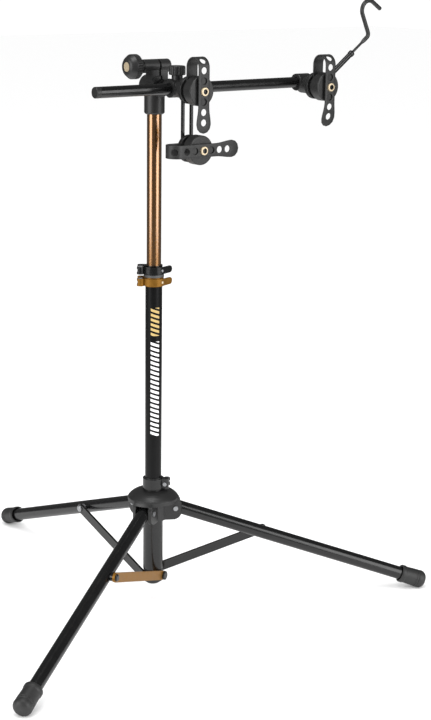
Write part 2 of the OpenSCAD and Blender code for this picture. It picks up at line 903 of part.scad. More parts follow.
module cradle_bolt_low() {
    in_low() cradle_bolt(13);
}

// ---------- hook ----------

// +X runs along the hook tube from its pivot
module in_hook() {
    translate([hook_x, hook_y, bar_z]) rotate([0, -hook_rise, 0]) children();
}

module hook_pin() {
    reach = tongue_half + 3.8;
    color("silver") translate([hook_x, hook_y, bar_z]) rod_y(hook_pin_r, -reach, reach);
}

module hook_tube() {
    color("#1d1d1d") in_hook() difference() {
        union() {
            rod_x(hook_tube_r, 9.5, hook_tube_len - 2);
            translate([hook_tube_len - 2 - eps, 0, 0]) rotate([0, 90, 0])
                rotate_extrude() polygon([[0, 0], [hook_tube_r, 0], [hook_tube_r - 1.5, 2], [0, 2]]);
            rod_y(tongue_r, -tongue_half, tongue_half);
            translate([0, -tongue_half, -5.5]) cube([12, 2 * tongue_half, 11]);
        }
        rod_x(hook_rod_r + run, 16, hook_tube_len + past);
        rod_y(hook_pin_r + run, -10, 10);
    }
}

// A bend of the hook in the XZ plane: centre (cx, cz), from angle a to angle b
module hook_bend(cx, cz, r, a, b) {
    translate([cx, 0, cz]) rotate([90, 0, 0]) rotate([0, 0, a])
        rotate_extrude(angle = b - a) translate([r, 0]) circle(r = hook_wire_r - hook_step);
}

// A straight stretch of the hook from p, l long, with the given heading
module hook_straight(p, heading, l) {
    translate([p[0], 0, p[1]]) rotate([0, -heading, 0]) rod_x(hook_wire_r, -eps, l + eps);
}

// Sliding rod that ends in a coated wire hook. Headings are measured from the tube's axis.
module hook_rod() {
    h1 = bend_to - hook_rise;
    h2 = crook_to - hook_rise;
    c1 = [bend_at, bend_r];
    p2 = c1 + bend_r * [sin(h1), -cos(h1)];
    p3 = p2 + neck_len * [cos(h1), sin(h1)];
    c2 = p3 + crook_r * [sin(h1), -cos(h1)];
    p4 = c2 + crook_r * [-sin(h2), cos(h2)];
    color("#2a2a2a") in_hook() {
        rod_x(hook_rod_r, rod_from, sleeve_from + eps);
        rod_x(hook_wire_r, sleeve_from, bend_at + eps);
        hook_bend(c1[0], c1[1], bend_r, -90, h1 - 90);
        hook_straight(p2, h1, neck_len);
        hook_bend(c2[0], c2[1], crook_r, h2 + 90, h1 + 90);
        hook_straight(p4, h2, crook_tail);
    }
}

// ---------- nodes ----------

mast_tube();
mast_foot();
mast_end_cap();
brace_pivot_bolts();
mast_bush();
mast_clamp();
mast_clamp_bolt();
collar_washer();
mast_clamp_lever();
stop_collar();
stop_collar_bolt();
stop_collar_lever();
hub();
sleeve();
sleeve_bushes();
hub_clamp();
hub_clamp_bolt();
hub_clamp_lever();
leg_pivot_bolts();
leg(REAR);  // leg_rear
leg(LEFT);  // leg_left
leg(RIGHT);  // leg_right
foot_cap(REAR);  // foot_cap_rear
foot_cap(LEFT);  // foot_cap_left
foot_cap(RIGHT);  // foot_cap_right
color("#2a2a2a") brace(REAR);  // brace_rear
color("#8a5a34") brace(LEFT);  // brace_left
color("#2a2a2a") brace(RIGHT);  // brace_right
brace_bolt(REAR);  // brace_bolt_rear
brace_bolt(LEFT);  // brace_bolt_left
brace_bolt(RIGHT);  // brace_bolt_right
upper_tube();
head_clamp();
tilt_nut();
tilt_stud();
tilt_knob();
knob_badge();
arm_tube();
bar_block();
slotted_bracket();
bar_knob();
bar_tube();
bar_end_cap();
end_block();
bracket_nut();
cradle_base_mid();
cradle_drum_mid();
strap_mid();
cradle_bolt_mid();
cradle_base_end();
cradle_drum_end();
strap_end();
cradle_bolt_end();
cradle_base_low();
cradle_drum_low();
strap_low();
cradle_bolt_low();
hook_pin();
hook_tube();
hook_rod();
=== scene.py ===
"""Looks for a folding bike repair stand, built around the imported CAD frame.

The CAD nodes keep their shapes and get procedural materials. The rubber straps, the rubber feet and the
hook are built here as meshes and stand for their CAD solids, and small fittings are added to the clamp
levers, the cradle bolts and the hook tube. Metres, in the frame's own axes.
"""

import json
import math

import bmesh
import bpy
from mathutils import Matrix, Vector


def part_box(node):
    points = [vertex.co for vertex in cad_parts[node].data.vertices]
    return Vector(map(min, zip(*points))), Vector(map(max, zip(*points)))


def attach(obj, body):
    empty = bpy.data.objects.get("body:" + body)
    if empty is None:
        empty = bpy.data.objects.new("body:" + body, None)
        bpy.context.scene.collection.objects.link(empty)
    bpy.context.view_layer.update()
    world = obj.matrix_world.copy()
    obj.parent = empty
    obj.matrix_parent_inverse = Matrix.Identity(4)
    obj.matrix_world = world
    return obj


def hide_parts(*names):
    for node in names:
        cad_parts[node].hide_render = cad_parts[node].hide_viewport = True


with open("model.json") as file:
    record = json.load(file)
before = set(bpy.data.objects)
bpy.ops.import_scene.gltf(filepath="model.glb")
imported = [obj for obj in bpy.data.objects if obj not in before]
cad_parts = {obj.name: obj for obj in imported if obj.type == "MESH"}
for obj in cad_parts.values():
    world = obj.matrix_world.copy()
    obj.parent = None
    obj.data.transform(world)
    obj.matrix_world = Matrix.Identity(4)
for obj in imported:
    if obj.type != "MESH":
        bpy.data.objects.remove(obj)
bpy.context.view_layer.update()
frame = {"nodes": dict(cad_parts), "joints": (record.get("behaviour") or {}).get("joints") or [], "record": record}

MM = 0.001


def joint_point(name):
    """A point on the joint's axis at rest."""
    row = next(j for j in frame["joints"] if j["name"] == name)
    return Vector(row.get("pos_m", (0, 0, 0)))


def flat_direction(degrees, across=Vector((0, 0, 1))):
    """A direction that turns from +X towards across."""
    turn = math.radians(degrees)
    return Vector((1, 0, 0)) * math.cos(turn) + across * math.sin(turn)


# ---------- a short way to write node trees ----------

class Nodes:
    """A material with a Principled shader; the methods after set() return sockets."""

    def __init__(self, name):
        self.mat = bpy.data.materials.new(name)
        self.mat.use_nodes = True
        self.tree = self.mat.node_tree
        self.tree.nodes.clear()
        out = self.tree.nodes.new("ShaderNodeOutputMaterial")
        self.bsdf = self.tree.nodes.new("ShaderNodeBsdfPrincipled")
        self.tree.links.new(self.bsdf.outputs[0], out.inputs[0])
        self.coord = self.tree.nodes.new("ShaderNodeTexCoord").outputs["Object"]

    def put(self, socket, value):
        if isinstance(value, bpy.types.NodeSocket):
            self.tree.links.new(value, socket)
        else:
            socket.default_value = value

    def set(self, **values):
        for key, value in values.items():
            self.put(self.bsdf.inputs[key.replace("_", " ")], value)

    def math(self, op, a, b=0.0, c=0.0):
        node = self.tree.nodes.new("ShaderNodeMath")
        node.operation = op
        for i, value in enumerate((a, b, c)):
            self.put(node.inputs[i], value)
        return node.outputs[0]

    def xyz(self):
        node = self.tree.nodes.new("ShaderNodeSeparateXYZ")
        self.put(node.inputs[0], self.coord)
        return node.outputs

    def length(self, a, b):
        return self.math("SQRT", self.math("ADD", self.math("MULTIPLY", a, a), self.math("MULTIPLY", b, b)))

    def scaled(self, x, y, z):
        node = self.tree.nodes.new("ShaderNodeMapping")
        self.put(node.inputs["Vector"], self.coord)
        node.inputs["Scale"].default_value = (x, y, z)
        return node.outputs[0]

    def noise(self, scale, detail=3.0, vector=None):
        node = self.tree.nodes.new("ShaderNodeTexNoise")
        self.put(node.inputs["Vector"], vector or self.coord)
        node.inputs["Scale"].default_value = scale
        node.inputs["Detail"].default_value = detail
        return node.outputs["Fac"]

    def spread(self, value, low, high, to_low, to_high):
        node = self.tree.nodes.new("ShaderNodeMapRange")
        for key, v in (("Value", value), ("From Min", low), ("From Max", high),
                       ("To Min", to_low), ("To Max", to_high)):
            self.put(node.inputs[key], v)
        return node.outputs[0]

    def mix(self, factor, a, b):
        node = self.tree.nodes.new("ShaderNodeMix")
        node.data_type = "RGBA"
        for i, value in ((0, factor), (6, a), (7, b)):
            self.put(node.inputs[i], value)
        return node.outputs[2]

    def bump(self, height, strength, distance, normal):
        node = self.tree.nodes.new("ShaderNodeBump")
        node.inputs["Strength"].default_value = strength
        node.inputs["Distance"].default_value = distance
        self.put(node.inputs["Height"], height)
        self.put(node.inputs["Normal"], normal)
        return node.outputs[0]

    def soft_edges(self, radius):
        """The surface normal with edges rounded to radius."""
        node = self.tree.nodes.new("ShaderNodeBevel")
        node.samples = 8
        node.inputs["Radius"].default_value = radius
        return node.outputs[0]

    def edge_mask(self, soft):
        """0 on open surfaces, 1 on edges, from how far soft_edges turned the normal."""
        geometry = self.tree.nodes.new("ShaderNodeNewGeometry")
        dot = self.tree.nodes.new("ShaderNodeVectorMath")
        dot.operation = "DOT_PRODUCT"
        self.put(dot.inputs[0], soft)
        self.put(dot.inputs[1], geometry.outputs["Normal"])
        return self.spread(dot.outputs["Value"], 0.995, 0.8, 0.0, 1.0)


def grey(level, tint=(1.0, 1.0, 1.0)):
    return (level * tint[0], level * tint[1], level * tint[2], 1.0)


# ---------- materials ----------

COOL = (0.98, 1.0, 1.03)
METAL_EDGE = 0.5 * MM      # how far bare and anodised metal edges are rounded
LINE_DEPTH = 0.02 * MM


def anodised_black(name, line_scale, shine=0.6, rough=0.17):
    """Satin black anodising. A small line_scale along a tube draws the streaks out along it."""
    n = Nodes(name)
    lines = n.noise(1.0, 2.0, n.scaled(*line_scale))
    cloud = n.noise(35.0)
    soft = n.soft_edges(METAL_EDGE)
    n.set(Base_Color=n.mix(cloud, grey(0.002, COOL), grey(0.005, COOL)),
          Roughness=n.spread(lines, 0.3, 0.7, rough, rough + 0.08),
          Specular_IOR_Level=shine,
          Normal=n.bump(lines, 0.05, LINE_DEPTH, soft))
    return n


def coloured_metal(name, dark, light, line_scale, rough, metallic=1.0, lacquer=0.0):
    """Coloured anodising or plating over brushed metal; lacquer adds whiter highlights."""
    n = Nodes(name)
    lines = n.noise(1.0, 3.0, n.scaled(*line_scale))
    soft = n.soft_edges(METAL_EDGE)
    n.set(Base_Color=n.mix(lines, dark, light), Metallic=metallic,
          Coat_Weight=lacquer, Coat_IOR=2.0, Coat_Roughness=0.12,
          Roughness=n.spread(lines, 0.3, 0.7, rough, rough + 0.09),
          Normal=n.bump(lines, 0.08, LINE_DEPTH, soft))
    return n


def moulded(name, level, rough, grain, depth, edge=0.8):
    """Moulded plastic or rubber: fine grain, cloudy colour, and edges made paler in patches.

    level is the colour's grey; depth of the grain and edge radius are in millimetres.
    """
    n = Nodes(name)
    fine = n.noise(grain, 2.0)
    cloud = n.noise(60.0, 4.0)
    soft = n.soft_edges(edge * MM)
    body = n.mix(cloud, grey(level * 0.8), grey(level * 1.25))
    # The colour is made paler on edges, in patches set by the cloud noise.
    paler_edge = n.math("MULTIPLY", n.edge_mask(soft), n.spread(cloud, 0.35, 0.7, 0.05, 0.35))
    n.set(Base_Color=n.mix(paler_edge, body, grey(level * 2.4)),
          Roughness=n.spread(fine, 0.3, 0.7, rough - 0.06, rough + 0.08),
          Specular_IOR_Level=0.6, Normal=n.bump(fine, 0.35, depth * MM, soft))
    return n


# The printed marks on the mast: slanted bars, white below and gold above, on the side that
# faces between -X and -Y
MARK_AZIMUTH = 243.5
MARK_HALF = 9.3 * MM
MARK_PITCH = 10.2 * MM
MARK_SLANT = 0.35
MARK_FILL = 0.55           # share of each pitch that a bar covers
WHITE_MARKS = (376 * MM, 581 * MM)
GOLD_MARKS = (593 * MM, 653 * MM)
MAST_R = 17.5 * MM


def printed_marks(n, radius):
    """(white, gold) masks of slanted bars on a tube along Z."""
    x, y, z = n.xyz()
    turn = n.math("SUBTRACT", n.math("ARCTAN2", y, x), math.radians(MARK_AZIMUTH) - 2 * math.pi)
    u = n.math("MULTIPLY", turn, radius)
    inside = n.math("LESS_THAN", n.math("ABSOLUTE", u), MARK_HALF)
    slanted = n.math("MULTIPLY_ADD", u, MARK_SLANT, z)
    bar = n.math("LESS_THAN", n.math("FRACT", n.math("DIVIDE", slanted, MARK_PITCH)), MARK_FILL)
    shape = n.math("MULTIPLY", inside, bar)
    masks = []
    for low, high in (WHITE_MARKS, GOLD_MARKS):
        band = n.math("MULTIPLY", n.math("GREATER_THAN", z, low), n.math("LESS_THAN", z, high))
        masks.append(n.math("MULTIPLY", shape, band))
    return masks


def mast_material():
    """Drawn black tube with the printed marks."""
    n = anodised_black("mast_anodising", (260, 260, 6), shine=0.2, rough=0.26)
    base = n.bsdf.inputs["Base Color"].links[0].from_socket
    white, gold = printed_marks(n, MAST_R)
    painted = n.mix(gold, n.mix(white, base, grey(0.80)), (0.50, 0.36, 0.14, 1))
    n.set(Base_Color=painted)
    return n.mat


KNOB_AXIS = (-8 * MM, 1146 * MM)   # y and z of the tilt knob's axis
KNOB_RIBS = 30
KNOB_RIBS_FROM = -63.5 * MM        # x where the ribs start, behind the knob's face
KNOB_VALLEY_R = 22.2 * MM          # the valleys are cut down to this radius


def knob_material():
    """Moulded plastic with painted shade in the valleys between the ribs around the tilt knob."""
    n = moulded("knob_nylon", 0.012, 0.40, 900.0, 0.06)
    base = n.bsdf.inputs["Base Color"].links[0].from_socket
    x, y, z = n.xyz()
    dy = n.math("SUBTRACT", y, KNOB_AXIS[0])
    dz = n.math("SUBTRACT", z, KNOB_AXIS[1])
    turn = n.math("MULTIPLY", n.math("ARCTAN2", dy, dz), KNOB_RIBS)
    # Painted shade: the colour goes dark in the valleys between the ribs, on the rim beyond the valley radius.
    valley_shade = n.spread(n.math("COSINE", turn), 0.1, 0.7, 0.0, 0.85)
    on_rim = n.math("GREATER_THAN", x, KNOB_RIBS_FROM)
    away = n.math("GREATER_THAN", n.length(dy, dz), KNOB_VALLEY_R)
    dark = n.math("MULTIPLY", valley_shade, n.math("MULTIPLY", on_rim, away))
    n.set(Base_Color=n.mix(dark, base, grey(0.003)))
    return n.mat


COPPER_TUBE = (0.31, 0.125, 0.016, 1), (0.40, 0.175, 0.03, 1)
COPPER_PARTS = (0.20, 0.088, 0.006, 1), (0.28, 0.130, 0.014, 1)
GOLD = (0.66, 0.52, 0.34, 1), (0.80, 0.68, 0.48, 1)
ZINC = grey(0.30, COOL), grey(0.45, COOL)


def build_materials():
    """One material for each material slot of the record."""
    made = {
        "black_tube": anodised_black("black_anodising", (60, 60, 60)),
        "black_metal": anodised_black("black_paint", (90, 90, 90)),
        "copper_tube": coloured_metal("copper_tube", *COPPER_TUBE, (320, 320, 5), 0.20, 1.0, 1.0),
        "copper_metal": coloured_metal("copper_metal", *COPPER_PARTS, (90, 90, 90), 0.34, 0.6),
        "steel": coloured_metal("zinc_steel", *ZINC, (400, 400, 400), 0.30, 0.85),
        "gold_metal": coloured_metal("gold_anodising", *GOLD, (500, 500, 500), 0.34, 0.7),
        "black_plastic": moulded("nylon", 0.011, 0.40, 900.0, 0.07),
        "grey_plastic": moulded("acetal", 0.07, 0.42, 600.0, 0.03),
        "strap_rubber": moulded("strap_rubber", 0.013, 0.46, 700.0, 0.06, 0.5),
        "foot_rubber": moulded("foot_rubber", 0.013, 0.50, 800.0, 0.09),
        "hook_coating": moulded("dipped_vinyl", 0.012, 0.34, 250.0, 0.03),
    }
    return {slot: n.mat for slot, n in made.items()}


MATERIALS = build_materials()


def paint_frame():
    for row in frame["record"]["subparts"]:
        mesh = frame["nodes"][row["node"]].data
        mesh.materials.clear()
        mesh.materials.append(MATERIALS[row["material_slot"]])
    frame["nodes"]["mast_tube"].data.materials[0] = mast_material()
    frame["nodes"]["tilt_knob"].data.materials[0] = knob_material()


# ---------- mesh helpers ----------

def add_piece(name, bm, slot, body, replaced=(), smooth_deg=40):
    """Turns bm into a named piece that rides on body."""
    bmesh.ops.recalc_face_normals(bm, faces=bm.faces)
    for face in bm.faces:
        face.smooth = True
    limit = math.radians(smooth_deg)
    for edge in bm.edges:
        edge.smooth = len(edge.link_faces) == 2 and edge.calc_face_angle(0) < limit
    mesh = bpy.data.meshes.new(name)
    bm.to_mesh(mesh)
    bm.free()
    mesh.materials.append(MATERIALS[slot])
    obj = bpy.data.objects.new(name, mesh)
    bpy.context.scene.collection.objects.link(obj)
    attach(obj, body)
    if replaced:
        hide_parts(*replaced)
    return obj


def skin_rings(bm, rings, closed_ends=True):
    """Quads between successive rings of points, with fans over the two ends."""
    rows = [[bm.verts.new(p) for p in ring] for ring in rings]
    count = len(rows[0])
    for a, b in zip(rows, rows[1:]):
        for i in range(count):
            j = (i + 1) % count
            bm.faces.new((a[i], a[j], b[j], b[i]))
    if closed_ends:
        for row in (rows[0], rows[-1]):
            middle = bm.verts.new(sum((v.co for v in row), Vector()) / count)
            for i in range(count):
                bm.faces.new((row[i], row[(i + 1) % count], middle))


def lathe(bm, profile, origin, axis, segments, closed_ends=True):
    """Solid of revolution: profile is [(distance along axis, radius)], both in metres.

    A profile that comes back to its first point makes a ring, and needs no ends.
    """
    axis = axis.normalized()
    side = axis.orthogonal().normalized()
    other = axis.cross(side)
    rings = []
    for along, radius in profile:
        centre = origin + axis * along
        rings.append([centre + (side * math.cos(t) + other * math.sin(t)) * radius
                      for t in (2 * math.pi * i / segments for i in range(segments))])
    skin_rings(bm, rings, closed_ends)


def arc_points(cx, cy, r, a0, a1, steps):
    """Points on an arc around (cx, cy), from a0 to a1 degrees."""
    return [(cx + r * math.cos(math.radians(a0 + (a1 - a0) * i / steps)),
             cy + r * math.sin(math.radians(a0 + (a1 - a0) * i / steps))) for i in range(steps + 1)]


# ---------- ladder straps ----------

STRAP_T = 3 * MM
STRAP_HALF = 13 * MM
STRAP_HOLE = 6.8 * MM      # radius
CELL_HALF = 9 * MM         # each hole sits in a cell that reaches this far along the strap
BAND_STEP = 2.5 * MM       # length of the quads between two cells
PADDLE_R = 17 * MM
NARROW_FROM = -30 * MM     # the front run starts to widen here, measured up from the bolt
HOLE_PITCH = 20 * MM
LOOP_HOLE_AT = 135         # angle of the loop's hole, in degrees from the loop's back
TAIL_FROM = -28 * MM       # a strap's tail bends back from here, measured up from the bolt
TAIL_BACK = {"mid": 0, "end": 9 * MM, "low": 2 * MM}   # how far each tip bends back
SIDE_STEPS = 6             # quads along each side of the square cell around a hole
RIM_BEVEL = 0.8 * MM
STRAPS = (("mid", (1, 0, 0), (0, 0, 1)),               # name, direction of the width, of the loop
          ("end", (1, 0, 0), (0, 0, 1)),
          ("low", (0, 0, 1), (-1, 0, 0)))


class StrapPath:
    """Centre line of a strap, by length from the bolt at its base end: back run, loop, front run."""

    def __init__(self, rise, back, front, paddle_at):
        self.rise = rise
        self.mid = (back + front) / 2
        self.radius = (front - back) / 2
        self.paddle_at = paddle_at
        self.arc_end = rise + math.pi * self.radius

    def at(self, s):
        """(height, depth, outward normal as (height, depth)) at length s."""
        if s <= self.rise:
            return s, self.mid - self.radius, (0.0, -1.0)
        if s <= self.arc_end:
            a = (s - self.rise) / self.radius
            normal = (math.sin(a), -math.cos(a))
            return (self.rise + self.radius * normal[0], self.mid + self.radius * normal[1], normal)
        return self.rise - (s - self.arc_end), self.mid + self.radius, (0.0, 1.0)

    def front_length(self, height):
        """Length at which the front run is at this height."""
        return self.arc_end + self.rise - height

    def holes(self):
        loop = self.rise + math.radians(LOOP_HOLE_AT) * self.radius
        return [0.0, loop] + [self.front_length(HOLE_PITCH * i) for i in range(2, -4, -1)]

    def half_width(self, s):
        """The front run widens smoothly towards the paddle."""
        start = self.front_length(NARROW_FROM)
        end = self.front_length(self.paddle_at)
        t = min(max((s - start) / (end - start), 0.0), 1.0)
        return STRAP_HALF + (PADDLE_R - STRAP_HALF) * t * t * (3 - 2 * t)


def cell_outline(path, low, high, first, last):
    """Points (s, across) around one hole's cell, counter-clockwise from the low side's left corner.

    The strap's two round ends belong to the first and last cells.
    """
    n = SIDE_STEPS
    points = []
    for i in range(n):                                   # low side, from -half to +half
        f = i / n
        if first:
            a = math.radians(270 - 180 * f)
            points.append((STRAP_HALF * math.cos(a), STRAP_HALF * math.sin(a)))
        else:
            points.append((low, path.half_width(low) * (2 * f - 1)))
    start = 0.0 if first else low
    end = path.front_length(path.paddle_at) if last else high
    for i in range(n):                                   # right edge, towards the high side
        s = start + (end - start) * i / n
        points.append((s, path.half_width(s)))
    for i in range(n):                                   # high side, from +half to -half
        f = i / n
        if last:
            a = math.radians(90 - 180 * f)
            points.append((end + PADDLE_R * math.cos(a), PADDLE_R * math.sin(a)))
        else:
            points.append((high, path.half_width(high) * (1 - 2 * f)))
    for i in range(n):                                   # left edge, back to the low side
        s = end + (start - end) * i / n
        points.append((s, -path.half_width(s)))
    return points


def strap_mesh(path, place):
    """A strap with rounded rims. place(across, height, depth) gives a point in the row frame."""
    holes = path.holes()
    n = 4 * SIDE_STEPS
    bm = bmesh.new()

    def vertex(s, across, offset):
        height, depth, normal = path.at(s)
        return bm.verts.new(place(across, height + normal[0] * offset, depth + normal[1] * offset))

    def two_sheets(rings):
        return [[[vertex(s, across, offset) for s, across in ring] for ring in rings]
                for offset in (STRAP_T / 2, -STRAP_T / 2)]

    for k, centre in enumerate(holes):
        first, last = k == 0, k == len(holes) - 1
        outer = cell_outline(path, centre - CELL_HALF, centre + CELL_HALF, first, last)
        inner = [(centre + STRAP_HOLE * math.cos(a), STRAP_HOLE * math.sin(a))
                 for a in (math.radians(225 - 360 * i / n) for i in range(n))]
        middle = [((o[0] + c[0] * 2) / 3, (o[1] + c[1] * 2) / 3) for o, c in zip(outer, inner)]
        top, bottom = two_sheets((outer, middle, inner))
        for i in range(n):
            j = (i + 1) % n
            for rings in (top, bottom):
                for a, b in zip(rings, rings[1:]):
                    bm.faces.new((a[i], a[j], b[j], b[i]))
            bm.faces.new((top[2][i], top[2][j], bottom[2][j], bottom[2][i]))
            side = i // SIDE_STEPS
            if side in (1, 3) or (side == 0 and first) or (side == 2 and last):
                bm.faces.new((top[0][i], top[0][j], bottom[0][j], bottom[0][i]))

    for low, high in zip(holes, holes[1:]):              # plain strap between two cells
        low, high = low + CELL_HALF, high - CELL_HALF
        steps = max(1, round((high - low) / BAND_STEP))
        stations = [low + (high - low) * i / steps for i in range(steps + 1)]
        across = [2 * i / SIDE_STEPS - 1 for i in range(SIDE_STEPS + 1)]
        top, bottom = two_sheets([[(s, path.half_width(s) * f) for f in across] for s in stations])
        for i in range(steps):
            for rings in (top, bottom):
                a, b = rings[i], rings[i + 1]
                for j in range(SIDE_STEPS):
                    bm.faces.new((a[j], a[j + 1], b[j + 1], b[j]))
            for j in (0, SIDE_STEPS):
                bm.faces.new((top[i][j], top[i + 1][j], bottom[i + 1][j], bottom[i][j]))

    bmesh.ops.remove_doubles(bm, verts=bm.verts, dist=0.02 * MM)
    bmesh.ops.recalc_face_normals(bm, faces=bm.faces)
    rims = [e for e in bm.edges if len(e.link_faces) == 2 and e.calc_face_angle(0) > math.radians(60)]
    bmesh.ops.bevel(bm, geom=rims, offset=RIM_BEVEL, segments=3, profile=0.5, affect="EDGES")
    return bm


def build_strap(which, side, up):
    """which names the cradle; side and up are the directions of the strap's width and of its loop."""
    node = "strap_" + which
    axis_point = joint_point(f"cradle_{which}_turn")
    low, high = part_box(node)
    out = Vector((0, -1, 0))
    corners = [Vector((x, 0, z)) - Vector((axis_point.x, 0, axis_point.z))
               for x in (low.x, high.x) for z in (low.z, high.z)]
    reach = [c.dot(up) for c in corners]
    back, front = STRAP_T / 2, high.y - low.y - STRAP_T / 2
    radius_out = (high.y - low.y) / 2
    path = StrapPath(max(reach) - radius_out, back, front, min(reach) + PADDLE_R)
    base = Vector((axis_point.x, high.y, axis_point.z))

    def place(across, height, depth):
        below = min(height - TAIL_FROM, 0.0) / (min(reach) - TAIL_FROM)
        return base + side * across + up * height + out * (depth - TAIL_BACK[which] * below * below)

    add_piece("ladder_" + node, strap_mesh(path, place), "strap_rubber", "cradle_" + which, [node])


# ---------- rubber feet ----------

LEG_R = 14.25 * MM
LEG_LEN = 593.2 * MM                    # from the pivot to the end of the tube
LEG_DROOP = math.atan2(198.5, 559)      # fall over run of a leg
FOOT_R = 19.5 * MM
FOOT_LEN = 60 * MM
FOOT_NOSE = 13 * MM                     # radius of the rounded nose
FOOT_SOLE = 4 * MM                      # rubber beyond the end of the tube
TREADS = 2
TREAD_PITCH = 5 * MM
FEET = {"rear": 90, "left": 210, "right": 330}


def foot_profile():
    """Closed outline of a foot from inside the mouth to the nose, as (along, radius)."""
    end = LEG_LEN + FOOT_SOLE
    start = end - FOOT_LEN
    points = [(LEG_LEN - 12 * MM, LEG_R - 0.2 * MM), (start + 6 * MM, LEG_R - 0.2 * MM),
              (start + 5 * MM, LEG_R + 1.2 * MM), (start + 1 * MM, LEG_R + 1.9 * MM),
              (start + 0.2 * MM, LEG_R + 2.4 * MM), (start, FOOT_R - 1.8 * MM),
              (start + 0.4 * MM, FOOT_R - 0.6 * MM), (start + 1.6 * MM, FOOT_R),
              (start + 8 * MM, FOOT_R), (start + 9.2 * MM, FOOT_R - 0.3 * MM),
              (start + 10.4 * MM, FOOT_R - 1.1 * MM), (start + 12 * MM, FOOT_R - 1.2 * MM)]
    for k in range(TREADS):                              # grooves around the foot before the nose
        s = end - FOOT_NOSE - 12 * MM + k * TREAD_PITCH
        points += [(s, FOOT_R - 0.4 * MM), (s + 0.7 * MM, FOOT_R - 1.3 * MM),
                   (s + 1.6 * MM, FOOT_R - 1.3 * MM), (s + 2.3 * MM, FOOT_R - 0.3 * MM)]
    points += arc_points(end - FOOT_NOSE, FOOT_R - FOOT_NOSE, FOOT_NOSE, 90, 0, 14)
    points.append((end, 2 * MM))
    return points


def build_foot(name, azimuth):
    """A foot, cut flat where it stands on the floor."""
    out = flat_direction(azimuth, Vector((0, 1, 0)))
    axis = out * math.cos(LEG_DROOP) + Vector((0, 0, -math.sin(LEG_DROOP)))
    bm = bmesh.new()
    lathe(bm, foot_profile(), joint_point(f"leg_{name}_fold"), axis, 72)
    bmesh.ops.remove_doubles(bm, verts=bm.verts, dist=0.01 * MM)
    everything = list(bm.verts) + list(bm.edges) + list(bm.faces)
    cut = bmesh.ops.bisect_plane(bm, geom=everything, plane_co=(0, 0, 0), plane_no=(0, 0, -1),
                                 clear_outer=True)
    rim = [e for e in cut["geom_cut"] if isinstance(e, bmesh.types.BMEdge)]
    bmesh.ops.holes_fill(bm, edges=rim)
    add_piece("rubber_foot_" + name, bm, "foot_rubber", "leg_" + name, ["foot_cap_" + name], 35)


# ---------- hook ----------

# Angles are from +X towards +Z in degrees; lengths run along the rod from the hook's pivot
HOOK_RISE = 36.4
ROD_FROM = 58 * MM
COAT_FROM = 131 * MM
COAT_TAPER = 9 * MM        # the coating reaches full thickness over this length
COAT_END = 3 * MM          # length of its rounded end
COAT_SKIN = 0.25 * MM      # its thickness where it starts
COAT_OVERLAP = 4 * MM      # the wire runs on inside the coating by this much
BEND_AT = 150 * MM
BEND_R = 9 * MM
BEND_TO = 115
NECK_LEN = 41 * MM
CROOK_R = 20 * MM
CROOK_TO = -33
CROOK_TAIL = 28 * MM
WIRE_R = 2.75 * MM
COAT_R = 4.4 * MM


def hook_path():
    """Points [(position, direction in degrees, length so far)] along the hook's centre line."""
    heading, s = HOOK_RISE, ROD_FROM
    point = joint_point("hook_swing") + flat_direction(heading) * ROD_FROM
    rows = [(point.copy(), heading, s)]

    def straight(length, steps):
        nonlocal point, s
        for _ in range(steps):
            point = point + flat_direction(heading) * (length / steps)
            s += length / steps
            rows.append((point.copy(), heading, s))

    def bend(radius, to, steps):
        nonlocal point, s, heading
        turn = (to - heading) / steps
        for _ in range(steps):
            chord = 2 * radius * math.sin(math.radians(abs(turn)) / 2)
            point = point + flat_direction(heading + turn / 2) * chord
            heading += turn
            s += radius * math.radians(abs(turn))
            rows.append((point.copy(), heading, s))

    straight(BEND_AT - ROD_FROM, 46)
    bend(BEND_R, BEND_TO, 16)
    straight(NECK_LEN, 8)
    bend(CROOK_R, CROOK_TO, 36)
    straight(CROOK_TAIL, 8)
    return rows


def sweep(bm, rows, radius_at, segments=28):
    """Round bar along rows, whose plane is XZ."""
    rings = []
    side = Vector((0, 1, 0))
    for point, heading, s in rows:
        normal = flat_direction(heading + 90)
        r = radius_at(s)
        rings.append([point + (normal * math.cos(t) + side * math.sin(t)) * r
                      for t in (2 * math.pi * i / segments for i in range(segments))])
    skin_rings(bm, rings)


def build_hook():
    """The hook: bare wire out of the tube, then the dipped coating to the tip."""
    rows = hook_path()
    wire = [row for row in rows if row[2] <= COAT_FROM + COAT_OVERLAP]
    coat = [row for row in rows if row[2] >= COAT_FROM]
    total = coat[-1][2]

    def coat_radius(s):
        """Tapered start, full thickness, round end."""
        start = min((s - coat[0][2]) / COAT_TAPER, 1.0)
        thin = WIRE_R + COAT_SKIN
        swell = thin + (COAT_R - thin) * math.sin(start * math.pi / 2)
        left = (total - s) / COAT_END
        return swell * math.sqrt(max(1 - (1 - min(left, 1.0)) ** 2, 0.02))

    tip, heading, _ = coat[-1]
    to_tip = [COAT_END * (1 - f) for f in (0.0, 0.35, 0.6, 0.8, 0.92, 1.0)]
    fine = [(tip - flat_direction(heading) * d, heading, total - d) for d in to_tip]
    coat = [row for row in coat if row[2] < total - COAT_END - 0.2 * MM] + fine
    bm = bmesh.new()
    sweep(bm, coat, coat_radius)
    add_piece("hook_coat", bm, "hook_coating", "hook_rod", ["hook_rod"])
    bm = bmesh.new()
    sweep(bm, wire, lambda s: WIRE_R)
    add_piece("hook_wire", bm, "black_metal", "hook_rod")


# ---------- small fittings ----------

